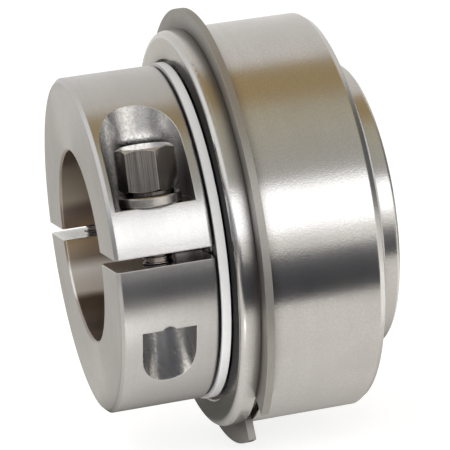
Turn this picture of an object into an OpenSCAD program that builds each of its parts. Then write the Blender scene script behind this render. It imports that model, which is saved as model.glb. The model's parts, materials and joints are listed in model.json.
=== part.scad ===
// Insert bearing with a snap ring and a two-piece clamp collar.
// The shaft runs along X: the collar is at the -X end, the plain boss at the +X end.
// The origin is on the shaft axis, in the plane of the balls. Millimetres.

/* [Outer ring] */
// Outside diameter, which fits the housing bore
outer_d = 80; // [76:0.5:90]
// Width along the shaft
outer_w = 28.8; // [26:0.2:36]
// Height of the shoulders beside the ball race
outer_shoulder_h = 3.1; // [2:0.1:3.6]
// Corner radius at the front of the ring
front_corner = 1.4; // [0.3:0.1:2]
// Length of the shallow lead-in at the back of the ring
lead_len = 1.2; // [0.5:0.1:3]
// How far the lead-in drops below the outside diameter
lead_drop = 0.8; // [0.3:0.1:1.5]
// Width of the land in front of the snap ring groove
land_w = 3.9; // [3:0.1:6]
// Depth of the snap ring groove
groove_depth = 1.8; // [1:0.1:2.2]

/* [Snap ring] */
// Thickness of the snap ring
snap_t = 1.5; // [1:0.1:2.2]
// How far the snap ring stands above the outside diameter
snap_reach = 4; // [2:0.1:6]
// Angle below the near side at which the gap starts
snap_gap_from = 50; // [0:1:80]
// Angle that the gap spans
snap_gap_span = 19; // [5:1:40]

/* [Balls and cage] */
// Ball diameter
ball_d = 12.7; // [11.5:0.1:13.2]
// How far the circle of ball centres lies outside the middle of bore and outside diameter
pitch_offset = 0.475; // [-0.5:0.025:1]
// Running play between a ball and each race
ball_play = 0.05; // [0.02:0.01:0.1]
// How much larger the radius of a race is than that of a ball
race_slack = 0.25; // [0.15:0.01:0.5]
// Thickness of the cage sheet
cage_t = 0.9; // [0.6:0.1:1.2]
// Width of the cage band, measured outward from the shaft
cage_w = 4.6; // [3.6:0.1:5.2]
// Play between a ball and its pocket in the cage
cage_play = 0.1; // [0.05:0.01:0.2]
// Diameter of a cage rivet
rivet_d = 1.8; // [1.2:0.1:2.2]
// Diameter of a rivet head
rivet_head_d = 2.9; // [2.6:0.1:3.6]
// Height of a rivet head
rivet_head_h = 0.6; // [0.3:0.1:1]

/* [Inner ring] */
// Shaft bore
bore_d = 38.1; // [34.9:0.1:42]
// Height of the shoulders beside the ball race
inner_shoulder_h = 3; // [2:0.1:3.6]
// How far the boss at the back stands above the shoulder
boss_rise = 2.2; // [1:0.1:2.8]
// How far the boss stands out of the outer ring
boss_len = 6.7; // [3:0.1:15]
// How far the boss runs in past the seat of the rear shield
boss_inset = 2.7; // [2:0.1:3.5]
// Wall of the slotted nose that the collar grips
nose_wall = 2; // [1.4:0.05:2.6]
// Length of the nose inside the collar
nose_len = 5.6; // [4:0.1:6.5]
// Width of the slots in the nose
nose_slot_w = 1.6; // [1:0.1:3]
// Solid length of the nose behind the slots
nose_root = 1.3; // [0.8:0.1:2]
// Chamfer at the ends of the ring
edge_chamfer = 0.5; // [0.2:0.1:0.8]

/* [Seals] */
// Distance from an end face of the outer ring to the seat of its shield
seat_inset = 2.2; // [2:0.1:2.8]
// How much wider the mouth of the outer ring is than its shoulder, on the radius
mouth_step = 1; // [0.3:0.1:1.2]
// Depth of the groove that holds the rim of a shield
seat_depth = 0.9; // [0.5:0.1:1.2]
// Chamfer at the mouth
mouth_chamfer = 0.3; // [0.1:0.1:0.6]
// Thickness of the shield sheet
shield_t = 0.8; // [0.6:0.1:1]
// Width of the flat rim of a shield
rim_w = 2.6; // [2:0.1:2.8]
// Space from the running surface to the flange of a shield
flange_space = 1.4; // [1.2:0.1:1.7]
// How far the lips spread to each side of the seat
lip_spread = 1.3; // [1.1:0.05:1.5]
// Width of a lip at its tip
lip_tip_w = 0.3; // [0.1:0.05:0.4]
// Thickness of a flinger
flinger_t = 0.8; // [0.5:0.1:1]
// How far the rim of a flinger stays inside the mouth of the outer ring
flinger_margin = 0.4; // [0.3:0.1:2]
// Space between a flinger and the end face of the outer ring
flinger_space = 0.2; // [0.2:0.1:0.6]
// Length of the hub behind a flinger's disc
flinger_hub = 0.6; // [0.4:0.1:1]
// Space between the rim of the front flinger and the collar
flinger_gap = 0.2; // [0.1:0.05:0.5]

/* [Clamp collar] */
// Wall of the collar, from the shaft to its outside
collar_wall = 14.45; // [13.8:0.05:18]
// Length of the collar along the shaft
collar_len = 19.35; // [18.4:0.05:26]
// Space between the collar and the front of the outer ring
collar_space = 2.1; // [1.8:0.1:4]
// Space between the collar and the shoulder of the inner ring
shoulder_space = 0.2; // [0.1:0.05:0.5]
// Space in front of the nose inside the collar
nose_space = 0.3; // [0.1:0.1:0.6]
// Gap between the two halves
split_gap = 2.3; // [1:0.1:4]
// Chamfer around the front face
collar_chamfer = 0.7; // [0.2:0.1:1.2]
// Corner radius around the rear face
collar_corner = 1; // [0.3:0.1:1.8]
// Chamfer at the ends of the bore
bore_chamfer = 0.4; // [0.2:0.1:1]
// Distance from the front face to the screw axes
screw_set = 9.29; // [8.6:0.01:10.4]
// Distance from a screw axis to the outside of the collar
screw_edge = 5.75; // [5.2:0.05:6.4]
// Height of the screw seat above the split plane
seat_height = 10.07; // [9:0.01:11.5]
// Diameter of the pocket around a screw head
pocket_d = 15.6; // [14:0.1:16]
// How far the pocket is shifted from the screw towards the shaft
pocket_shift = 1.6; // [0.5:0.1:2]
// Height of the relief floor above the split plane
relief_height = 13.8; // [12:0.1:15]
// Diameter of the relief at a screw tip
relief_d = 10.56; // [8:0.01:12]

/* [Clamp screws] */
// Nominal thread diameter
thread_d = 6; // [5:0.1:6.4]
// Thread pitch
thread_pitch = 1; // [0.75:0.05:1.25]
// Depth of the thread
thread_depth = 0.5; // [0.3:0.05:0.6]
// Plain length under the head
plain_len = 3; // [1:0.5:6]
// Screw length under the head
screw_len = 25; // [20:0.5:30]
// Width across the flats of the head
head_flats = 10; // [8:0.1:11]
// Height of the head
head_height = 9; // [4:0.1:12]
// Height of the round bearing face under the hexagon
head_face_h = 0.8; // [0.4:0.1:1.2]
// Height of the bevel on the corners of the head
head_bevel = 0.45; // [0.2:0.05:0.8]
// Turn of the head about its own axis
head_turn = 22.5; // [0:0.5:60]
// Play of the screw in the plain half
pass_play = 0.35; // [0.2:0.05:0.6]
// Washer outside diameter
washer_d = 12; // [10.5:0.1:14]
// Washer thickness
washer_t = 1.9; // [1:0.1:2.5]
// Play of the screw in the washer
washer_play = 0.2; // [0.1:0.05:0.4]
// Bevel on the rim of the washer
washer_bevel = 0.2; // [0.1:0.05:0.4]

/* [Fits] */
// Clearance around a fitted or running piece
fit = 0.05; // [0.03:0.01:0.08]

/* [Hidden] */
$fn = 96;
ball_count = 9;
// Overlap that keeps cuts clean
cut = 1;
// Reach of a cut that runs clear of the whole part
clear = 2 * outer_d;

outer_r = outer_d / 2;
half_w = outer_w / 2;
ball_r = ball_d / 2;
bore_r = bore_d / 2;
pitch_r = (bore_r + outer_r) / 2 + pitch_offset;

// Races: each circle stands off the balls by their play, and the shoulders rise from its bottom
race_r = ball_r + race_slack;
outer_race_bottom = pitch_r + ball_r + ball_play;
inner_race_bottom = pitch_r - ball_r - ball_play;
outer_shoulder_r = outer_race_bottom - outer_shoulder_h;
inner_shoulder_r = inner_race_bottom + inner_shoulder_h;
boss_r = inner_shoulder_r + boss_rise;

// Snap ring groove, counted from the front face
groove_front = land_w - half_w;
groove_w = snap_t + 2 * fit;
groove_r = outer_r - groove_depth;

// Seal seats, the same at both ends
mouth_r = outer_shoulder_r + mouth_step;
seat_r = mouth_r + seat_depth;
seat_x = half_w - seat_inset;
rim_in = seat_x + fit;
rim_out = rim_in + shield_t;
knee_r = seat_r - rim_w;

// Flingers stand in front of the outer ring's end faces, and their rims fill the space to the collar
flinger_in = half_w + flinger_space;
flinger_out = flinger_in + flinger_t;
flinger_rim = half_w + collar_space - flinger_gap;
flinger_r = mouth_r - flinger_margin;

// Collar, inner ring and nose along the shaft
collar_rear = -half_w - collar_space;
collar_front = collar_rear - collar_len;
shoulder_front = collar_rear + shoulder_space;
nose_end = collar_rear - nose_len;
socket_end = nose_end - nose_space;
boss_step = seat_x - boss_inset;
boss_end = half_w + boss_len;
nose_r = bore_r + nose_wall;
socket_r = nose_r + fit;
grip_r = bore_r + fit;
collar_r = grip_r + collar_wall;

// Clamp screws: the near one points down, the far one is the same turned over
screw_x = collar_front + screw_set;
screw_y = collar_r - screw_edge;
pocket_y = screw_y - pocket_shift;
thread_r = thread_d / 2 - fit;
tapped_r = thread_r + 2 * fit;
pass_r = thread_r + pass_play;
washer_hole_r = thread_r + washer_play;
washer_base = seat_height + fit;
head_base = washer_base + washer_t + fit;
head_corner_r = head_flats / 2 / cos(30);

// A profile drawn as [distance from the axis, place along the axis] is turned about X
module turned() {
    rotate([0, 90, 0])
        rotate_extrude()
            children();
}

// A flat shape drawn as [Y, Z] becomes a bar along X
module along_x(length) {
    translate([-length / 2, 0, 0])
        rotate([90, 0, 90])
            linear_extrude(length)
                children();
}

module tube_profile(inside, outside, from, to) {
    translate([inside, from])
        square([outside - inside, to - from]);
}

// Places its child at ball number k, or between balls when k is a half
module at_ball(k) {
    rotate([k * 360 / ball_count, 0, 0])
        translate([0, 0, pitch_r])
            children();
}

module outer_profile() {
    seat_w = shield_t + 2 * fit;
    difference() {
        union() {
            polygon([
                [mouth_r + mouth_chamfer, -half_w],
                [outer_r - front_corner, -half_w],
                [outer_r, -half_w + front_corner],
                [outer_r, half_w - lead_len],
                [outer_r - lead_drop, half_w],
                [mouth_r + mouth_chamfer, half_w],
                [mouth_r, half_w - mouth_chamfer],
                [mouth_r, seat_x],
                [outer_shoulder_r, seat_x],
                [outer_shoulder_r, -seat_x],
                [mouth_r, -seat_x],
                [mouth_r, -half_w + mouth_chamfer]
            ]);
            translate([outer_r - front_corner, -half_w + front_corner])
                circle(front_corner);
        }
        translate([outer_race_bottom - race_r, 0])
            circle(race_r);
        tube_profile(groove_r, outer_r + cut, groove_front, groove_front + groove_w);
        tube_profile(outer_shoulder_r, seat_r, seat_x, seat_x + seat_w);
        tube_profile(outer_shoulder_r, seat_r, -seat_x - seat_w, -seat_x);
    }
}

module outer_ring() {
    color([0.72, 0.71, 0.69])
        turned()
            outer_profile();
}

module snap_ring() {
    first = snap_gap_from;
    last = snap_gap_from + snap_gap_span;
    color([0.60, 0.59, 0.57])
        difference() {
            turned()
                tube_profile(groove_r + fit, outer_r + snap_reach,
                             groove_front + fit, groove_front + fit + snap_t);
            along_x(2 * outer_w)
                polygon([
                    [0, 0],
                    [-clear * cos(first), -clear * sin(first)],
                    [-clear * cos(last), -clear * sin(last)]
                ]);
        }
}

module inner_profile() {
    difference() {
        polygon([
            [bore_r + edge_chamfer, nose_end],
            [nose_r - edge_chamfer, nose_end],
            [nose_r, nose_end + edge_chamfer],
            [nose_r, shoulder_front],
            [inner_shoulder_r - edge_chamfer, shoulder_front],
            [inner_shoulder_r, shoulder_front + edge_chamfer],
            [inner_shoulder_r, boss_step],
            [boss_r, boss_step],
            [boss_r, boss_end - edge_chamfer],
            [boss_r - edge_chamfer, boss_end],
            [bore_r + edge_chamfer, boss_end],
            [bore_r, boss_end - edge_chamfer],
            [bore_r, nose_end + edge_chamfer]
        ]);
        translate([inner_race_bottom + race_r, 0])
            circle(race_r);
    }
}

module inner_ring() {
    slot_end = collar_rear - nose_root;
    color([0.70, 0.69, 0.67])
        difference() {
            turned()
                inner_profile();
            for (turn = [45, 135])
                rotate([turn, 0, 0])
                    translate([nose_end - cut, -clear / 2, -nose_slot_w / 2])
                        cube([slot_end - nose_end + cut, clear, nose_slot_w]);
        }
}

module ball(k) {
    color([0.82, 0.82, 0.84])
        at_ball(k)
            sphere(ball_r);
}

module ball_1() {
    ball(0);
}

module ball_2() {
    ball(1);
}

module ball_3() {
    ball(2);
}

module ball_4() {
    ball(3);
}

module ball_5() {
    ball(4);
}

module ball_6() {
    ball(5);
}

module ball_7() {
    ball(6);
}

module ball_8() {
    ball(7);
}

module ball_9() {
    ball(8);
}

// One pressed half of the cage: flat between the balls and domed over each of them
module cage_half() {
    pocket_r = ball_r + cage_play;
    dome_r = pocket_r + cage_t;
    band_in = pitch_r - cage_w / 2;
    band_out = pitch_r + cage_w / 2;
    joint_face = fit / 2;
    color([0.66, 0.62, 0.52])
        difference() {
            intersection() {
                union() {
                    turned()
                        tube_profile(band_in - cut, band_out + cut, joint_face, joint_face + cage_t);
                    for (k = [0 : ball_count - 1])
                        at_ball(k)
                            sphere(dome_r);
                }
                turned()
                    tube_profile(band_in, band_out, joint_face, dome_r + cut);
            }
            for (k = [0 : ball_count - 1]) {
                at_ball(k)
                    sphere(pocket_r);
                at_ball(k + 0.5)
                    rotate([0, 90, 0])
                        cylinder(h = 2 * dome_r, r = rivet_d / 2 + fit, center = true);
            }
        }
}

module cage_front_half() {
    mirror([1, 0, 0])
        cage_half();
}

module cage_rear_half() {
    cage_half();
}

module cage_rivets() {
    grip = cage_t + fit;
    shank = rivet_d / 2;
    head = rivet_head_d / 2;
    crown = head - rivet_head_h / 2;
    color([0.70, 0.66, 0.56])
        for (k = [0 : ball_count - 1])
            at_ball(k + 0.5)
                rotate([0, 90, 0])
                    rotate_extrude()
                        polygon([
                            [0, -grip - rivet_head_h],
                            [crown, -grip - rivet_head_h],
                            [head, -grip - rivet_head_h / 2],
                            [head, -grip],
                            [shank, -grip],
                            [shank, grip],
                            [head, grip],
                            [head, grip + rivet_head_h / 2],
                            [crown, grip + rivet_head_h],
                            [0, grip + rivet_head_h]
                        ]);
}

// Shield for the +X end: a flat rim in the seat and a flange set back towards the balls
module shield_profile(running_r) {
    flange_r = running_r + flange_space;
    polygon([
        [seat_r - fit, rim_in],
        [seat_r - fit, rim_out],
        [knee_r, rim_out],
        [knee_r - shield_t, rim_in],
        [flange_r, rim_in],
        [flange_r, rim_in - shield_t],
        [knee_r - shield_t, rim_in - shield_t],
        [knee_r, rim_in]
    ]);
}

// Rubber on the shield's flange, with two lips that reach down to the inner ring
module lip_profile(running_r) {
    flange_r = running_r + flange_space;
    tip_r = running_r + fit;
    web_r = running_r + flange_space / 2;
    bead_w = flange_space / 3;
    polygon([
        [flange_r + bead_w, rim_in],
        [flange_r + bead_w, rim_in + bead_w],
        [flange_r - bead_w, rim_in + 2 * bead_w],
        [tip_r, rim_in + lip_spread],
        [tip_r, rim_in + lip_spread - lip_tip_w],
        [web_r, rim_in],
        [web_r, rim_in - bead_w],
        [tip_r, rim_in - lip_spread + lip_tip_w],
        [tip_r, rim_in - lip_spread],
        [flange_r - bead_w, rim_in - shield_t],
        [flange_r, rim_in - shield_t],
        [flange_r, rim_in]
    ]);
}

// Disc with a short hub and a broad rim, standing in front of the end face
module flinger_profile(seat) {
    polygon([
        [seat + fit, flinger_in - flinger_hub],
        [seat + fit + flinger_t, flinger_in - flinger_hub],
        [seat + fit + flinger_t, flinger_in],
        [flinger_r, flinger_in],
        [flinger_r, flinger_rim],
        [flinger_r - flinger_t, flinger_rim],
        [flinger_r - flinger_t, flinger_out],
        [seat + fit, flinger_out]
    ]);
}

module front_shield() {
    color([0.62, 0.61, 0.60])
        mirror([1, 0, 0])
            turned()
                shield_profile(inner_shoulder_r);
}

module front_seal_lip() {
    color([0.16, 0.16, 0.17])
        mirror([1, 0, 0])
            turned()
                lip_profile(inner_shoulder_r);
}

module front_flinger() {
    color([0.86, 0.86, 0.86])
        mirror([1, 0, 0])
            turned()
                flinger_profile(inner_shoulder_r);
}

module rear_shield() {
    color([0.62, 0.61, 0.60])
        turned()
            shield_profile(boss_r);
}

module rear_seal_lip() {
    color([0.16, 0.16, 0.17])
        turned()
            lip_profile(boss_r);
}

module rear_flinger() {
    color([0.86, 0.86, 0.86])
        turned()
            flinger_profile(boss_r);
}

module collar_profile() {
    union() {
        polygon([
            [grip_r + bore_chamfer, collar_front],
            [collar_r - collar_chamfer, collar_front],
            [collar_r, collar_front + collar_chamfer],
            [collar_r, collar_rear - collar_corner],
            [collar_r - collar_corner, collar_rear],
            [socket_r + bore_chamfer, collar_rear],
            [socket_r, collar_rear - bore_chamfer],
            [socket_r, socket_end],
            [grip_r, socket_end],
            [grip_r, collar_front + bore_chamfer]
        ]);
        translate([collar_r - collar_corner, collar_rear - collar_corner])
            circle(collar_corner);
    }
}

// A round-bottomed pocket, milled down to a floor and open to the outside of the collar
module pocket(diameter, centre_y, floor_z) {
    translate([screw_x, centre_y, floor_z])
        cylinder(h = clear, d = diameter);
    translate([screw_x - diameter / 2, centre_y > 0 ? centre_y : centre_y - clear, floor_z])
        cube([diameter, clear, clear]);
}

// The upper half; the lower one is the same piece turned over about the shaft
module collar_half() {
    difference() {
        turned()
            collar_profile();
        translate([collar_front - cut, -clear, split_gap / 2 - clear])
            cube([collar_len + 2 * cut, 2 * clear, clear]);
        pocket(pocket_d, -pocket_y, seat_height);
        pocket(relief_d, screw_y, relief_height);
        translate([screw_x, -screw_y, 0])
            cylinder(h = clear, r = pass_r);
        translate([screw_x, screw_y, 0])
            cylinder(h = clear, r = tapped_r);
    }
}

module upper_collar_half() {
    color([0.71, 0.70, 0.68])
        collar_half();
}

module lower_collar_half() {
    color([0.71, 0.70, 0.68])
        rotate([180, 0, 0])
            collar_half();
}

// Shank outline from the head down to the tip, with one notch for each thread
module shank_profile() {
    turns = floor((screw_len - plain_len) / thread_pitch - 0.5);
    root_r = thread_r - thread_depth;
    notches = [for (i = [0 : turns - 1], step = [0, 0.5])
        [step > 0 ? root_r : thread_r, -plain_len - (i + step) * thread_pitch]];
    polygon(concat(
        [[0, 0], [thread_r, 0]],
        notches,
        [[thread_r, -plain_len - turns * thread_pitch], [root_r, -screw_len], [0, -screw_len]]
    ));
}

// The near screw: head up in the upper half, tip in the lower half
module clamp_screw() {
    flat_r = head_flats / 2;
    face_r = flat_r - head_bevel / 2;
    past_corner = head_corner_r + cut;
    corner_h = head_corner_r - flat_r;
    slope = head_bevel / corner_h;
    translate([screw_x, -screw_y, head_base]) {
        rotate_extrude()
            shank_profile();
        cylinder(h = head_face_h, r = face_r);
        intersection() {
            translate([0, 0, head_face_h])
                rotate([0, 0, -head_turn])
                    cylinder(h = head_height - head_face_h, r = head_corner_r, $fn = 6);
            rotate_extrude()
                polygon([
                    [0, head_face_h],
                    [flat_r, head_face_h],
                    [past_corner, head_face_h + slope * (past_corner - flat_r)],
                    [past_corner, head_height - slope * (past_corner - face_r)],
                    [face_r, head_height],
                    [0, head_height]
                ]);
        }
    }
}

module near_clamp_screw() {
    color([0.55, 0.53, 0.50])
        clamp_screw();
}

module far_clamp_screw() {
    color([0.55, 0.53, 0.50])
        rotate([180, 0, 0])
            clamp_screw();
}

// The near washer, on the seat of the upper half
module washer() {
    outside = washer_d / 2;
    translate([screw_x, -screw_y, washer_base])
        rotate_extrude()
            polygon([
                [washer_hole_r, 0],
                [outside - washer_bevel, 0],
                [outside, washer_bevel],
                [outside, washer_t - washer_bevel],
                [outside - washer_bevel, washer_t],
                [washer_hole_r, washer_t]
            ]);
}

module near_washer() {
    color([0.66, 0.65, 0.63])
        washer();
}

module far_washer() {
    color([0.66, 0.65, 0.63])
        rotate([180, 0, 0])
            washer();
}

outer_ring();
snap_ring();
inner_ring();
ball_1();
ball_2();
ball_3();
ball_4();
ball_5();
ball_6();
ball_7();
ball_8();
ball_9();
cage_front_half();
cage_rear_half();
cage_rivets();
front_shield();
front_seal_lip();
front_flinger();
rear_shield();
rear_seal_lip();
rear_flinger();
upper_collar_half();
lower_collar_half();
near_clamp_screw();
near_washer();
far_clamp_screw();
far_washer();
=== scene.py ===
# %% [markdown]
# # An insert bearing with a split clamp collar
# This lesson dresses a finished mechanical model in Blender. The object is a ball
# bearing that slides into a round housing. A snap ring on its outer ring stops it
# there, and a collar in two halves grips the shaft when two screws are tightened.
# The solids already have their true shapes and sizes, so the work here is the
# finish: ground, turned, milled and drawn steel, a pale moulded ring and black
# rubber, and a small studio that gives the metal something to reflect.

# %% Load the solids
import json
import math

import bpy
from mathutils import Matrix, Vector

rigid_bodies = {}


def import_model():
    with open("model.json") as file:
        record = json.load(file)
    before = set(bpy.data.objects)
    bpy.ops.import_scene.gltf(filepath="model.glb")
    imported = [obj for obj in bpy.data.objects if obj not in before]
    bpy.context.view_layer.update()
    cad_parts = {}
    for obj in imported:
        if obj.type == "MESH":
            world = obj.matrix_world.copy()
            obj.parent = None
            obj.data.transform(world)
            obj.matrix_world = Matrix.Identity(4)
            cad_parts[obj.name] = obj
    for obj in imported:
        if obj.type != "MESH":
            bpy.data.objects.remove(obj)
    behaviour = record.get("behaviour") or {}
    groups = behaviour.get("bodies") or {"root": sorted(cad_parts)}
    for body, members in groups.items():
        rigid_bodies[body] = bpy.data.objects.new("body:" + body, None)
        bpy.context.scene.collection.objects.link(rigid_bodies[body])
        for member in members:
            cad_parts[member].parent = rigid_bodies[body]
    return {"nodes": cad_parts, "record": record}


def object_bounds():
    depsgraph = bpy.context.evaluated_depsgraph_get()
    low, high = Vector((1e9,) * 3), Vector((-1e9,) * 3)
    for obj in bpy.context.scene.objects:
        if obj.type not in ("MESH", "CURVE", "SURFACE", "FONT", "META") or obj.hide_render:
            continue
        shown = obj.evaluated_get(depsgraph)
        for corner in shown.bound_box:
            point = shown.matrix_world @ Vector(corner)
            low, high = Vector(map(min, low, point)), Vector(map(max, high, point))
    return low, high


for leftover in list(bpy.data.objects):
    bpy.data.objects.remove(leftover)

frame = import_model()
solids = frame["nodes"]
solid_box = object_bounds()
mm = 0.001
solid_size = [round(side / mm, 2) for side in solid_box[1] - solid_box[0]]
print("solids:", len(solids), "size in mm:", solid_size)

# %% [markdown]
# ## Where the camera stands
# The picture was taken from the collar's side, a little above the shaft, with a
# long lens and the camera rolled by seven degrees. A camera can be aimed with a
# constraint, but the roll is easier to set by building its three directions by
# hand: forward to the target, right, and up, with the last two turned together.

# %% Aim the camera
eye = Vector((-124.404, -498.850, 74.553)) * mm
target = Vector((-2.1, 0.0, 0.0)) * mm
roll = math.radians(-6.967)
forward = (target - eye).normalized()
level_right = forward.cross(Vector((0, 0, 1))).normalized()
level_up = level_right.cross(forward)
right = level_right * math.cos(roll) + level_up * math.sin(roll)
up = level_up * math.cos(roll) - level_right * math.sin(roll)

lens = bpy.data.cameras.new("studio_camera")
lens.sensor_width = 36.0
lens.lens = 206.15
lens.shift_x = -0.0435
lens.shift_y = -0.0102
lens.clip_start = 0.01
camera = bpy.data.objects.new("studio_camera", lens)
bpy.context.scene.collection.objects.link(camera)
camera.matrix_world = Matrix((
    (right.x, up.x, -forward.x, eye.x),
    (right.y, up.y, -forward.y, eye.y),
    (right.z, up.z, -forward.z, eye.z),
    (0, 0, 0, 1),
))
bpy.context.scene.camera = camera
bpy.context.scene.view_settings.view_transform = "Standard"
print("camera stands", round((target - eye).length, 3), "m away, lens", lens.lens, "mm")

# %% [markdown]
# ## Writing node trees in few words
# Every finish below is a tree of shader nodes. Making each node and each link on
# its own line is long to read, so these small helpers make a node, set its
# inputs and link it in one go. An input that is given a socket is linked, and
# an input that is given a number or a colour is set. Inputs go by name, or by
# their place, as i0, i1 and so on, where several inputs share a name.

# %% Helpers for nodes
def feed(tree, socket, value):
    if isinstance(value, bpy.types.NodeSocket):
        tree.links.new(value, socket)
    else:
        socket.default_value = value


def add_node(tree, kind, settings=None, **inputs):
    node = tree.nodes.new(kind)
    for name, value in (settings or {}).items():
        setattr(node, name, value)
    for name, value in inputs.items():
        by_place = name[0] == "i" and name[1:].isdigit()
        key = int(name[1:]) if by_place else name.replace("_", " ")
        feed(tree, node.inputs[key], value)
    return node


def calc(tree, operation, *values, clamp=False):
    settings = {"operation": operation, "use_clamp": clamp}
    inputs = {"i%d" % place: value for place, value in enumerate(values)}
    return add_node(tree, "ShaderNodeMath", settings, **inputs).outputs[0]


def spread(tree, value, low, high, to_low=0.0, to_high=1.0):
    node = add_node(tree, "ShaderNodeMapRange", {"interpolation_type": "SMOOTHSTEP"},
                    Value=value, From_Min=low, From_Max=high, To_Min=to_low, To_Max=to_high)
    return node.outputs[0]


def mix_colours(tree, share, first, second):
    node = add_node(tree, "ShaderNodeMix", {"data_type": "RGBA"}, i0=share, i6=first, i7=second)
    return node.outputs[2]


def noise(tree, place, scale, detail, settings=None, **more):
    inputs = dict(Scale=scale, Detail=detail, **more)
    if place is not None:
        inputs["Vector"] = place
    return add_node(tree, "ShaderNodeTexNoise", settings, **inputs).outputs[0]


def object_place(tree):
    return add_node(tree, "ShaderNodeTexCoord").outputs["Object"]


def split(tree, vector):
    return add_node(tree, "ShaderNodeSeparateXYZ", Vector=vector).outputs


def ramp(tree, share, stops):
    node = add_node(tree, "ShaderNodeValToRGB", Fac=share)
    elements = node.color_ramp.elements
    while len(elements) < len(stops):
        elements.new(0.5)
    for element, (place, colour) in zip(elements, stops):
        element.position = place
        element.color = (*colour, 1.0)
    return node.outputs[0]


print("node helpers ready")

# %% [markdown]
# ## A studio for metal
# Bare metal has hardly any colour of its own: what is seen on it is the room. A
# round bar shows the room as bands along its length, one for each direction
# around the bar. The room could be built from lamps and cards. Here the sky of
# the scene is the room: its tone depends on the angle around the shaft, from the
# white box in front, over a warm ceiling, to the pale wall behind. The wall at
# the left end is white above and dim near the horizon, and the one at the right
# end is dark, which keeps the rounds and chamfers at the ends from burning out.
# The camera itself sees plain white.

# %% Paint the room
world = bpy.data.worlds.new("studio_room")
bpy.context.scene.world = world
world.use_nodes = True
room = world.node_tree
room.nodes.clear()
looking = split(room, add_node(room, "ShaderNodeTexCoord").outputs["Generated"])
towards_front = calc(room, "MULTIPLY", looking["Y"], -1.0)
angle = calc(room, "ARCTAN2", looking["Z"], towards_front)
share = calc(room, "MULTIPLY_ADD", angle, 0.5 / math.pi, 0.5)


def at_angle(degrees):
    return 0.5 + degrees / 360.0


white = (1.0, 1.0, 1.0, 1.0)
box_bottom, box_top = -2, 22
box_gain = 1.1
room_tones = ramp(room, share, [
    (at_angle(-180), (0.80, 0.79, 0.77)),
    (at_angle(box_bottom - 4), (0.62, 0.61, 0.60)),
    (at_angle(box_bottom), (1.0, 1.0, 1.0)),
    (at_angle(box_top), (1.0, 1.0, 1.0)),
    (at_angle(box_top + 6), (0.46, 0.445, 0.42)),
    (at_angle(58), (0.53, 0.50, 0.40)),
    (at_angle(70), (0.51, 0.46, 0.35)),
    (at_angle(80), (0.42, 0.31, 0.16)),
    (at_angle(100), (0.41, 0.30, 0.15)),
    (at_angle(107), (0.76, 0.72, 0.67)),
    (at_angle(179), (0.84, 0.83, 0.81)),
])
left_wall = spread(room, looking["X"], -0.45, -0.75)
left_tone = mix_colours(room, spread(room, looking["Z"], 0.08, 0.30),
                        (0.20, 0.20, 0.23, 1), (1.1, 1.1, 1.1, 1.0))
room_tones = mix_colours(room, left_wall, room_tones, left_tone)
right_wall = spread(room, looking["X"], 0.72, 0.92)
room_tones = mix_colours(room, right_wall, room_tones, (0.13, 0.13, 0.125, 1))
box_light = calc(room, "MULTIPLY",
                 spread(room, angle, math.radians(box_bottom - 4), math.radians(box_bottom)),
                 spread(room, angle, math.radians(box_top + 5), math.radians(box_top)))
box_strength = calc(room, "MULTIPLY_ADD", box_light, box_gain, 1.0)
seen = add_node(room, "ShaderNodeLightPath").outputs["Is Camera Ray"]
shown = mix_colours(room, seen, room_tones, white)
unseen_strength = calc(room, "MULTIPLY", box_strength, calc(room, "SUBTRACT", 1.0, seen))
strength = calc(room, "MAXIMUM", seen, unseen_strength)
sky = add_node(room, "ShaderNodeBackground", Color=shown, Strength=strength)
add_node(room, "ShaderNodeOutputWorld", Surface=sky.outputs[0])
print("room painted, white box up to", box_top, "degrees above the horizon")

# %% [markdown]
# ## A pale floor
# The floor lies just under the snap ring. It glows a little for the camera and
# for reflections, so that it reads as white and still keeps a soft shadow. What
# the metal mirrors of it carries painted light and shade: warm grey in front,
# a painted shadow under and just behind the object, darker further behind, and
# a painted bright strip at the right.

# %% Lay the floor
def flat_sheet(name, x_from, x_to, y_from, y_to, height):
    mesh = bpy.data.meshes.new(name)
    outline = [(x_from, y_from), (x_to, y_from), (x_to, y_to), (x_from, y_to)]
    corners = [Vector((x, y, height)) * mm for x, y in outline]
    mesh.from_pydata(corners, [], [(0, 1, 2, 3)])
    sheet = bpy.data.objects.new(name, mesh)
    bpy.context.scene.collection.objects.link(sheet)
    return sheet


def new_material(name):
    material = bpy.data.materials.new(name)
    material.use_nodes = True
    material.node_tree.nodes.clear()
    return material, material.node_tree


floor_gap, floor_reach = 0.1, 1500
floor_height = solid_box[0].z / mm - floor_gap
card_far, card_near = -219, -74.5
card_side, card_slant = 44, 0.24
floor = flat_sheet("pale_floor", -floor_reach, floor_reach, -floor_reach, floor_reach, floor_height)
pale, tree = new_material("pale_floor")
path = add_node(tree, "ShaderNodeLightPath").outputs
mirrored = calc(tree, "MAXIMUM", path["Is Glossy Ray"], path["Is Transmission Ray"])
looked_at = calc(tree, "MAXIMUM", path["Is Camera Ray"], mirrored)
fibres = spread(tree, noise(tree, None, 40.0, 4.0), 0.3, 0.7)
paper = mix_colours(tree, fibres, (0.78, 0.77, 0.76, 1), (0.80, 0.79, 0.78, 1))
plain = add_node(tree, "ShaderNodeBsdfDiffuse", Color=paper)
spot = split(tree, object_place(tree))
# painted shadow under and just behind the object, seen only in reflections
painted_shadow = calc(tree, "MULTIPLY",
                spread(tree, spot["Y"], -22 * mm, 28 * mm),
                spread(tree, spot["Y"], 62 * mm, 42 * mm))
# darker behind the object, seen only in reflections
behind = spread(tree, spot["Y"], 0.0, 60 * mm)
far_tone = mix_colours(tree, spread(tree, spot["Y"], 60 * mm, 250 * mm),
                       (0.44, 0.42, 0.39, 1), (0.365, 0.345, 0.32, 1))
mirrored_tone = mix_colours(tree, behind, (0.66, 0.625, 0.59, 1), far_tone)
mirrored_tone = mix_colours(tree, painted_shadow, mirrored_tone, (0.10, 0.10, 0.09, 1))
beyond_side = calc(tree, "MULTIPLY_ADD", spot["Y"], card_slant, spot["X"])
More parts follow.
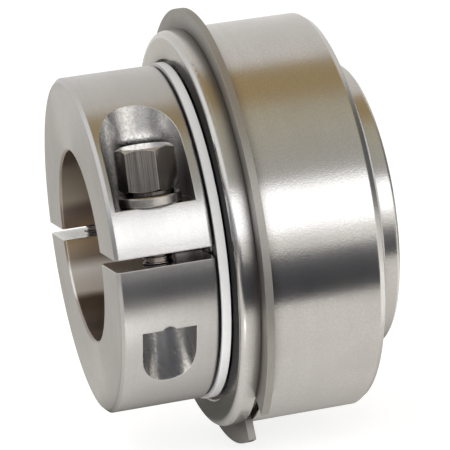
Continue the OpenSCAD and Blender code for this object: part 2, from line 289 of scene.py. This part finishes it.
# painted bright strip at the right, seen only in reflections
painted_light_strip = calc(tree, "MULTIPLY",
                spread(tree, beyond_side, card_side * mm, (card_side + 6) * mm),
                spread(tree, beyond_side, (card_side + 90) * mm, (card_side + 60) * mm))
mirrored_tone = mix_colours(tree, painted_light_strip, mirrored_tone, (1.2, 1.18, 1.15, 1))
glow_tone = mix_colours(tree, mirrored, white, mirrored_tone)
# the painted shadow also darkens the thin diffuse part for reflections
thin_tone = mix_colours(tree, calc(tree, "MULTIPLY", painted_shadow, mirrored),
                        (0.36, 0.36, 0.36, 1), (0.06, 0.06, 0.055, 1))
thin = add_node(tree, "ShaderNodeBsdfDiffuse", Color=thin_tone)
glow = add_node(tree, "ShaderNodeEmission", Color=glow_tone, Strength=0.80)
lit_floor = add_node(tree, "ShaderNodeAddShader", i0=thin.outputs[0], i1=glow.outputs[0])
floor_mix = add_node(tree, "ShaderNodeMixShader",
                     i0=looked_at, i1=plain.outputs[0], i2=lit_floor.outputs[0])
add_node(tree, "ShaderNodeOutputMaterial", Surface=floor_mix.outputs[0])
floor.data.materials.append(pale)
print("floor at", round(floor_height, 2), "mm")

# %% [markdown]
# ## Dark cards
# Three cards of dark felt lie on the floor, out of the picture. The one in front
# draws the dark band below the bright one, which is what makes the round shapes
# read. Its right side slants, so that the band ends where the boss ends. The two
# others darken what the collar's face and its pockets mirror. The camera doesn't
# see the cards, and they take no light from the floor.

# %% Lay the cards
card_lift, card_reach = 0.05, -700
card_height = floor_height + card_lift
front_card = flat_sheet("dark_card_in_front", -150, card_side, card_far, card_near, card_height)
for corner in front_card.data.vertices:
    if corner.co.x > 0:
        corner.co.x = card_side * mm - card_slant * corner.co.y
left_card = flat_sheet("dark_card_at_left", card_reach, -230, card_far, -card_near, card_height)
corner_card = flat_sheet("dark_card_in_corner", card_reach, -30, card_reach, card_far, card_height)
dark, tree = new_material("dark_card")
felt_noise = noise(tree, None, 300.0, 3.0)
spot = split(tree, object_place(tree))
# the felt is lighter towards the card's far edge
lighter_at_far_edge = spread(tree, spot["Y"], 0.6 * card_near * mm, card_far * mm)
felt = mix_colours(tree, lighter_at_far_edge, (0.028, 0.029, 0.038, 1), (0.112, 0.117, 0.135, 1))
felt = mix_colours(tree, calc(tree, "MULTIPLY", felt_noise, 0.3), felt, (0.048, 0.050, 0.062, 1))
felt_shader = add_node(tree, "ShaderNodeBsdfDiffuse", Color=felt)
add_node(tree, "ShaderNodeOutputMaterial", Surface=felt_shader.outputs[0])
for card in (front_card, left_card, corner_card):
    card.visible_camera = False
    card.visible_diffuse = False
    card.visible_shadow = False
    card.data.materials.append(dark)
print("front card from", -card_near, "to", -card_far, "mm in front")

# %% [markdown]
# ## Two soft lamps
# The room lights the metal. A wide lamp high above on the camera's side gives
# the moulded ring, the rubber and the floor their direction and a soft shadow.
# A tiny fill lamp just above the floor lifts the underside of the moulded ring.
# Neither lamp is mirrored, so the metal shows the room alone.

# %% Hang the lamps
def hang_lamp(name, place, aim, width, depth, watts):
    lamp_data = bpy.data.lights.new(name, "AREA")
    lamp_data.shape = "RECTANGLE"
    lamp_data.size = width
    lamp_data.size_y = depth
    lamp_data.energy = watts
    lamp = bpy.data.objects.new(name, lamp_data)
    bpy.context.scene.collection.objects.link(lamp)
    lamp.location = place
    lamp.rotation_euler = (aim - place).to_track_quat("-Z", "Y").to_euler()
    lamp.visible_glossy = False
    lamp.visible_camera = False
    return lamp


overhead = hang_lamp("overhead_softbox", Vector((-0.25, -0.45, 0.75)), Vector((0, 0, 0)),
                     width=0.9, depth=0.6, watts=4.5)
fill_place = Vector((-40, -60, floor_height + 1)) * mm
ring_underside = Vector((-16, -20, -28)) * mm
fill = hang_lamp("fill_below", fill_place, ring_underside, width=0.02, depth=0.02, watts=0.030)
for lamp in (overhead, fill):
    print(lamp.name, "hangs", round(lamp.location.length, 2), "m away")

# %% [markdown]
# ## Effects that several finishes share
# Lathe lines, edge breaks, mill marks and handling marks turn up on many pieces.
# Each one is a node group with its own inputs, so a material only says how
# strong and how fine it wants the effect.

# %% Helpers for node groups
NUMBER, COLOUR, VECTOR = "NodeSocketFloat", "NodeSocketColor", "NodeSocketVector"


def new_group(name, inputs, outputs):
    group = bpy.data.node_groups.new(name, "ShaderNodeTree")
    for socket_name, default in inputs:
        socket = group.interface.new_socket(socket_name, in_out="INPUT", socket_type=NUMBER)
        socket.default_value = default
    for socket_name, socket_type in outputs:
        group.interface.new_socket(socket_name, in_out="OUTPUT", socket_type=socket_type)
    entry = group.nodes.new("NodeGroupInput")
    leave = group.nodes.new("NodeGroupOutput")
    return group, entry.outputs, leave.inputs


def use_group(tree, group, **inputs):
    node = tree.nodes.new("ShaderNodeGroup")
    node.node_tree = group
    for name, value in inputs.items():
        feed(tree, node.inputs[name.replace("_", " ")], value)
    return node.outputs


print("group helpers ready")

# %% [markdown]
# ### Lathe lines
# A turning tool leaves fine rings: lines around a cylinder, and circles on a
# face. Both are constant in angle, so a noise that reads only the place along
# the shaft and the distance from it draws them at once. The mask tells turned
# faces from milled ones by their normals: a turned face looks along the shaft
# or straight away from it.

# %% Lathe lines group
lathe_lines, given, result = new_group(
    "lathe_lines",
    [("Spacing", 0.00025), ("Wide Bands", 0.5)],
    [("Lines", NUMBER), ("Turned", NUMBER), ("From Axis", NUMBER), ("Side Face", NUMBER)],
)
tree = lathe_lines
coords = add_node(tree, "ShaderNodeTexCoord").outputs
place = split(tree, coords["Object"])
facing = split(tree, coords["Normal"])


def length_of(tree, first, second):
    squares = [calc(tree, "POWER", side, 2.0) for side in (first, second)]
    return calc(tree, "SQRT", calc(tree, "ADD", *squares))


from_axis = length_of(tree, place["Y"], place["Z"])
along = calc(tree, "DIVIDE", place["X"], given["Spacing"])
across = calc(tree, "DIVIDE", from_axis, given["Spacing"])
rings_at = add_node(tree, "ShaderNodeCombineXYZ", X=along, Y=across).outputs[0]
flat = {"noise_dimensions": "2D"}
fine = noise(tree, rings_at, 1.0, 2.0, flat)
broad = noise(tree, rings_at, 0.11, 1.0, flat)
lines = add_node(tree, "ShaderNodeMix", i0=given["Wide Bands"], i2=fine, i3=broad).outputs[0]
tree.links.new(lines, result["Lines"])
outward = calc(tree, "ADD", *(calc(tree, "MULTIPLY", facing[axis], place[axis]) for axis in "YZ"))
radial = calc(tree, "ABSOLUTE", calc(tree, "DIVIDE", outward, from_axis))
turned = spread(tree, length_of(tree, radial, facing["X"]), 0.95, 0.99)
tree.links.new(turned, result["Turned"])
tree.links.new(from_axis, result["From Axis"])
tree.links.new(spread(tree, calc(tree, "ABSOLUTE", facing["X"]), 0.90, 0.98), result["Side Face"])
print("group:", lathe_lines.name)

# %% [markdown]
# ### Edge breaks
# No machined edge is razor sharp: it is broken with a file or a tumbler, and the
# small round catches the light as a thin bright line. The bevel node looks at
# the faces nearby and rounds the normal. Where that differs from the true
# normal there is an edge, which also gives the mask for lighter edges: worn
# metal with a painted highlight on top.

# %% Edge breaks group
edge_breaks, given, result = new_group(
    "edge_breaks",
    [("Radius", 0.0003), ("Wear", 0.5)],
    [("Edge", NUMBER), ("Normal", VECTOR)],
)
tree = edge_breaks
rounded = add_node(tree, "ShaderNodeBevel", {"samples": 6}, Radius=given["Radius"]).outputs[0]
true_normal = add_node(tree, "ShaderNodeNewGeometry").outputs["Normal"]
alike = add_node(tree, "ShaderNodeVectorMath", {"operation": "DOT_PRODUCT"},
                 i0=rounded, i1=true_normal).outputs["Value"]
rubbed = noise(tree, None, 700.0, 3.0)
edge = calc(tree, "MULTIPLY",
            spread(tree, alike, 0.99, 0.86), spread(tree, rubbed, 0.25, 0.6, 0.8, 1.0))
tree.links.new(calc(tree, "MULTIPLY", edge, given["Wear"]), result["Edge"])
near_edge = spread(tree, alike, 0.995, 0.97)
blended = add_node(tree, "ShaderNodeMix", {"data_type": "VECTOR"},
                   i0=near_edge, i4=true_normal, i5=rounded).outputs[1]
unit = add_node(tree, "ShaderNodeVectorMath", {"operation": "NORMALIZE"}, i0=blended).outputs[0]
tree.links.new(unit, result["Normal"])
print("group:", edge_breaks.name)

# %% [markdown]
# ### Mill marks and handling marks
# Pockets and flats are milled, and the cutter leaves a mottled wall. The same
# mottle, made finer, is the grain of a ground face. Handling marks are the faint
# cloudy film and the few hair scratches that every part picks up between the
# machine and the shelf.

# %% Mill marks and handling marks groups
mill_marks, given, result = new_group("mill_marks", [("Size", 0.0012)], [("Mottle", NUMBER)])
tree = mill_marks
fine_scale = calc(tree, "DIVIDE", 1.0, given["Size"])
tree.links.new(noise(tree, object_place(tree), fine_scale, 2.0), result["Mottle"])

handling_marks, given, result = new_group(
    "handling_marks", [("Cloud Size", 0.012)], [("Film", NUMBER), ("Scratch", NUMBER)])
tree = handling_marks
local = object_place(tree)
cloud_scale = calc(tree, "DIVIDE", 1.0, given["Cloud Size"])
handling_film_and_bore_bands = noise(tree, local, cloud_scale, 4.0, Roughness=0.6)
tilted = add_node(tree, "ShaderNodeMapping", Vector=local,
                  Rotation=(0.5, 0.9, 0.3), Scale=(2600.0, 140.0, 900.0)).outputs[0]
hairs = noise(tree, tilted, 1.0, 1.0)
tree.links.new(spread(tree, handling_film_and_bore_bands, 0.35, 0.68), result["Film"])
tree.links.new(spread(tree, hairs, 0.66, 0.80), result["Scratch"])
print("groups:", mill_marks.name, handling_marks.name)

# %% [markdown]
# ### Painted shade in recesses
# A deep pocket mirrors mostly its own walls, so its corners look dark. The
# ambient occlusion node measures how much of the open room a point can see
# within a short reach, which gives a mask for painted shade there.

# %% Painted recess shade group
painted_recess_shade, given, result = new_group(
    "painted_recess_shade", [("Reach", 0.007), ("Open", 0.70), ("Closed", 0.15)], [("Painted Shade", NUMBER)])
tree = painted_recess_shade
openness = add_node(tree, "ShaderNodeAmbientOcclusion", {"samples": 8},
                    Distance=given["Reach"]).outputs["AO"]
tree.links.new(spread(tree, openness, given["Open"], given["Closed"]), result["Painted Shade"])
print("group:", painted_recess_shade.name)

# %% [markdown]
# ### Painted bands in the bore
# The bore carries painted light and shade in bands along its height: dark at
# the bottom, a painted bright stripe above that, browner bands near the split,
# a lighter band higher up and darker again at the top. The height in the bore
# picks the band, with a little noise so that the band edges are not straight.

# %% Painted bore bands group
bore_radius = 19.05 * mm
painted_bore_bands, given, result = new_group(
    "painted_bore_bands", [("Wobble", 0.0006)], [("Colour", COLOUR), ("Band Lightness", NUMBER)])
tree = painted_bore_bands
local = object_place(tree)
height_in_bore = split(tree, local)["Z"]
band_edge_noise = noise(tree, local, 160.0, 3.0)
shifted = calc(tree, "MULTIPLY_ADD", calc(tree, "SUBTRACT", band_edge_noise, 0.5), given["Wobble"], height_in_bore)
bore_share = calc(tree, "MULTIPLY_ADD", shifted, 0.5 / bore_radius, 0.5)


def at_height(height):
    return 0.5 + 0.5 * height * mm / bore_radius


# painted light and shade, from the bottom of the bore to the top
bore_band_tones = ramp(tree, bore_share, [
    (at_height(-13), (0.33, 0.28, 0.26)),
    (at_height(-11.5), (0.92, 0.88, 0.85)),
    (at_height(-7.5), (0.95, 0.92, 0.90)),
    (at_height(-5), (0.42, 0.35, 0.28)),
    (at_height(-1), (0.42, 0.31, 0.19)),
    (at_height(5), (0.36, 0.30, 0.27)),
    (at_height(7), (0.64, 0.58, 0.48)),
    (at_height(11), (0.64, 0.58, 0.49)),
    (at_height(18), (0.40, 0.34, 0.31)),
])
tree.links.new(bore_band_tones, result["Colour"])
# the lighter painted bands also get a rougher finish
lightness = add_node(tree, "ShaderNodeRGBToBW", Color=bore_band_tones).outputs[0]
tree.links.new(spread(tree, lightness, 0.35, 0.9), result["Band Lightness"])
print("group:", painted_bore_bands.name)

# %% [markdown]
# ## Machined steel
# Most pieces are bearing or stainless steel and differ only in how they were
# finished: ground rings are smooth with very fine lines, the collar is turned
# and then milled, the balls are lapped. One function builds the tree from a few
# plain numbers, so that the finishes can be compared side by side. smooth is the
# roughness, line_spacing and line_depth are the lathe lines, grain is the height
# of the ground grain against them, open_from and reach set where the painted
# shade in a recess starts, side_polish smooths the end faces, and grazing dims
# the rim of a dull piece. Surfaces at the bore's radius take painted bands of
# light and shade, and worn edges a painted highlight. Lengths are in millimetres.

# %% Build a machined steel
def shade(tone, factor):
    return (*(min(1.0, factor * part) for part in tone), 1)


def machined_steel(name, tone, smooth, line_spacing, line_depth, milled=0.0,
                   edge_radius=0.25, wear=0.6, open_from=0.70, reach=7.0,
                   side_polish=0.0, grazing=1.0, grain=3.0):
    material, tree = new_material(name)
    lathe = use_group(tree, lathe_lines, Spacing=line_spacing * mm, Wide_Bands=0.45)
    edges = use_group(tree, edge_breaks, Radius=edge_radius * mm, Wear=wear)
    marks = use_group(tree, handling_marks, Cloud_Size=12.0 * mm)
    mill = use_group(tree, mill_marks, Size=0.55 * mm)
    ground = use_group(tree, mill_marks, Size=0.34 * mm)
    recess = use_group(tree, painted_recess_shade, Reach=reach * mm, Open=open_from, Closed=open_from - 0.55)
    not_turned = calc(tree, "SUBTRACT", 1.0, lathe["Turned"])
    cut_by_mill = calc(tree, "MULTIPLY", not_turned, milled)
    body = mix_colours(tree, marks["Film"], shade(tone, 1.0), shade(tone, 0.92))
    grainy = calc(tree, "MULTIPLY", spread(tree, ground["Mottle"], 0.35, 0.65), 0.6)
    body = mix_colours(tree, grainy, body, shade(tone, 0.84))
    lined = calc(tree, "MULTIPLY", spread(tree, lathe["Lines"], 0.35, 0.65), 0.4)
    body = mix_colours(tree, lined, body, shade(tone, 0.88))
    body = mix_colours(tree, cut_by_mill, body, shade(tone, 1.25))
    mottled = calc(tree, "MULTIPLY", spread(tree, mill["Mottle"], 0.35, 0.65),
                   calc(tree, "MULTIPLY", cut_by_mill, 0.50))
    body = mix_colours(tree, mottled, body, shade(tone, 0.55))
    # surfaces at the bore's radius take the painted bands of light and shade
    bore_mask = spread(tree, lathe["From Axis"], bore_radius + 0.6 * mm, bore_radius + 0.3 * mm)
    handling_film_and_bore_bands = use_group(tree, painted_bore_bands)
    body = mix_colours(tree, bore_mask, body, handling_film_and_bore_bands["Colour"])
    outside_bore_mask = calc(tree, "SUBTRACT", 1.0, bore_mask)
    # painted shade in recesses, kept out of the bore
    painted_shade_share = calc(tree, "MULTIPLY", recess["Painted Shade"], calc(tree, "MULTIPLY", outside_bore_mask, 0.9))
    body = mix_colours(tree, painted_shade_share, body, (0.16, 0.145, 0.14, 1))
    # lighter edges: worn metal with a painted highlight
    body = mix_colours(tree, edges["Edge"], body, shade(tone, 1.35))
    streaked = calc(tree, "MULTIPLY_ADD", calc(tree, "SUBTRACT", lathe["Lines"], 0.5), 0.07, smooth)
    filmed = calc(tree, "MULTIPLY_ADD", marks["Film"], 0.03, streaked)
    honed = calc(tree, "MULTIPLY_ADD", calc(tree, "MULTIPLY", bore_mask, handling_film_and_bore_bands["Band Lightness"]), 0.25, filmed)
    polished = calc(tree, "MULTIPLY_ADD", lathe["Side Face"], -side_polish, honed)
    scratched = calc(tree, "MULTIPLY_ADD", marks["Scratch"], 0.012, polished)
    rough = calc(tree, "MULTIPLY_ADD", calc(tree, "SUBTRACT", mill["Mottle"], 0.90),
                 calc(tree, "MULTIPLY", cut_by_mill, 0.30), scratched, clamp=True)
    ground_height = calc(tree, "MULTIPLY_ADD", ground["Mottle"], grain, lathe["Lines"])
    ring_height = calc(tree, "MULTIPLY", ground_height, calc(tree, "SUBTRACT", 1.0, cut_by_mill))
    height = calc(tree, "MULTIPLY_ADD", mill["Mottle"],
                  calc(tree, "MULTIPLY", cut_by_mill, 4.0), ring_height)
    bump = add_node(tree, "ShaderNodeBump", Strength=line_depth, Distance=bump_reach,
                    Height=height, Normal=edges["Normal"])
    around = add_node(tree, "ShaderNodeTangent", {"direction_type": "RADIAL", "axis": "X"}).outputs[0]
    shader = add_node(tree, "ShaderNodeBsdfPrincipled", Base_Color=body, Metallic=1.0,
                      Roughness=rough, Normal=bump.outputs[0],
                      Anisotropic=0.5, Anisotropic_Rotation=0.25, Tangent=around,
                      Specular_Tint=(grazing, grazing, grazing, 1))
    add_node(tree, "ShaderNodeOutputMaterial", Surface=shader.outputs[0])
    return material


bump_reach = 0.02 * mm
print("machined steel can be built from a tone and a few numbers")

# %% [markdown]
# ### The machined finishes
# Each line is one finish: its tone, its roughness, and the spacing and depth of
# its lathe lines, followed by what sets it apart from the others.

# %% Make the machined finishes
steels = {
    "ring_steel": ((0.66, 0.652, 0.64), 0.22, 0.16, 0.06, dict(
        edge_radius=0.6, open_from=0.95, reach=4.0, side_polish=0.11, grain=10.0)),
    "collar_steel": ((0.60, 0.596, 0.59), 0.30, 0.20, 0.08, dict(
        milled=1.0, edge_radius=0.32, open_from=0.55, grain=12.0)),
    "spring_steel": ((0.47, 0.455, 0.43), 0.58, 0.30, 0.18, dict(
        wear=0.2, open_from=1.0, reach=4.0, side_polish=0.20, grazing=0.8)),
    "washer_steel": ((0.52, 0.50, 0.475), 0.24, 0.30, 0.12, dict(edge_radius=0.15)),
    "shield_steel": ((0.58, 0.57, 0.55), 0.34, 0.35, 0.16, dict(edge_radius=0.15)),
    "cage_steel": ((0.56, 0.51, 0.42), 0.36, 0.50, 0.18, dict(edge_radius=0.15)),
    "rivet_steel": ((0.58, 0.54, 0.47), 0.34, 0.40, 0.16, dict(edge_radius=0.12)),
    "ball_steel": ((0.74, 0.74, 0.75), 0.08, 0.60, 0.02, dict(
        edge_radius=0.05, wear=0.1, grain=0.0)),
}
finishes = {}
for name, (tone, smooth, line_spacing, line_depth, more) in steels.items():
    finishes[name] = machined_steel(name, tone, smooth, line_spacing, line_depth, **more)
print("machined finishes:", ", ".join(finishes))

# %% [markdown]
# ## Drawn steel for the screws
# The heads are cut from drawn hexagon bar, so their flats carry straight lines
# along the screw. Turned lines would be wrong here, so the noise is squeezed
# across the bar and drawn out along it.

# %% Drawn steel
material, tree = new_material("screw_steel")
local = object_place(tree)
drawn_out = add_node(tree, "ShaderNodeMapping", Vector=local,
                     Scale=(3200.0, 3200.0, 60.0)).outputs[0]
drawn = noise(tree, drawn_out, 1.0, 3.0)
edges = use_group(tree, edge_breaks, Radius=0.22 * mm, Wear=0.5)
marks = use_group(tree, handling_marks, Cloud_Size=5.0 * mm)
recess = use_group(tree, painted_recess_shade, Reach=6.0 * mm, Open=0.85, Closed=0.50)
height_off_split = calc(tree, "ABSOLUTE", split(tree, local)["Z"])
at_head = spread(tree, height_off_split, 5.0 * mm, 9.0 * mm)
body = mix_colours(tree, spread(tree, drawn, 0.3, 0.7),
                   (0.34, 0.31, 0.28, 1), (0.46, 0.425, 0.39, 1))
body = mix_colours(tree, calc(tree, "MULTIPLY", marks["Film"], 0.5), body, (0.33, 0.305, 0.28, 1))
# painted shade on the head, deep in its pocket
painted_pocket_shade = calc(tree, "MULTIPLY", recess["Painted Shade"], at_head)
body = mix_colours(tree, painted_pocket_shade, body, (0.04, 0.036, 0.035, 1))
# lighter edges: worn metal with a painted highlight
body = mix_colours(tree, edges["Edge"], body, (0.70, 0.68, 0.65, 1))
rough = calc(tree, "MULTIPLY_ADD", drawn, 0.16, 0.08, clamp=True)
bump = add_node(tree, "ShaderNodeBump", Strength=0.35, Distance=bump_reach,
                Height=drawn, Normal=edges["Normal"])
shader = add_node(tree, "ShaderNodeBsdfPrincipled", Base_Color=body, Metallic=1.0,
                  Roughness=rough, Normal=bump.outputs[0])
add_node(tree, "ShaderNodeOutputMaterial", Surface=shader.outputs[0])
finishes["screw_steel"] = material
print("drawn finish:", material.name)

# %% [markdown]
# ## Moulded rings
# The flingers are pale moulded plastic: slightly cloudy, with a fine matt skin.
# In the picture the ground face beside the front flinger is dark, because it
# mirrors the unlit gap behind the collar. A pale flinger would light that face
# up, so the plastic shows a dark tone to mirrored rays and a pale one to the eye.

# %% Moulded rings
material, tree = new_material("flinger_white")
local = object_place(tree)
skin = noise(tree, local, 2600.0, 3.0)
flow = noise(tree, local, 70.0, 3.0)
edges = use_group(tree, edge_breaks, Radius=0.15 * mm, Wear=0.4)
body = mix_colours(tree, spread(tree, flow, 0.3, 0.7),
                   (0.58, 0.585, 0.59, 1), (0.55, 0.555, 0.56, 1))
# lighter edges: wear with a painted highlight
body = mix_colours(tree, edges["Edge"], body, (0.62, 0.62, 0.625, 1))
mirrored = add_node(tree, "ShaderNodeLightPath").outputs["Is Glossy Ray"]
body = mix_colours(tree, mirrored, body, (0.012, 0.013, 0.017, 1))
rough = calc(tree, "MULTIPLY_ADD", skin, 0.15, 0.40, clamp=True)
bump = add_node(tree, "ShaderNodeBump", Strength=0.12, Distance=bump_reach,
                Height=skin, Normal=edges["Normal"])
shader = add_node(tree, "ShaderNodeBsdfPrincipled", Base_Color=body,
                  Roughness=rough, Normal=bump.outputs[0])
add_node(tree, "ShaderNodeOutputMaterial", Surface=shader.outputs[0])
finishes["flinger_white"] = material
print("moulded finish:", material.name)

# %% [markdown]
# ## Seal rubber
# The seal lips are black rubber, dusted where the grease has dried. Coarse noise
# lays the dust in patches, and fine noise gives the rubber its pores.

# %% Seal rubber
material, tree = new_material("seal_rubber")
local = object_place(tree)
dust = noise(tree, local, 180.0, 4.0)
pores = noise(tree, local, 4200.0, 2.0)
body = mix_colours(tree, spread(tree, dust, 0.45, 0.75),
                   (0.030, 0.030, 0.032, 1), (0.075, 0.072, 0.068, 1))
rough = calc(tree, "MULTIPLY_ADD", dust, 0.25, 0.48, clamp=True)
bump = add_node(tree, "ShaderNodeBump", Strength=0.2, Distance=bump_reach, Height=pores)
shader = add_node(tree, "ShaderNodeBsdfPrincipled", Base_Color=body,
                  Roughness=rough, Normal=bump.outputs[0])
add_node(tree, "ShaderNodeOutputMaterial", Surface=shader.outputs[0])
finishes["seal_rubber"] = material
print("rubber finish:", material.name)

# %% [markdown]
# ## Dress the solids
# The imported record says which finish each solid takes, so no piece can be
# forgotten: every solid's material slot is filled from the table above.

# %% Give every solid its finish
for piece in frame["record"]["subparts"]:
    solid = solids[piece["node"]]
    finish = finishes[piece["material_slot"]]
    for slot in solid.material_slots:
        slot.material = finish
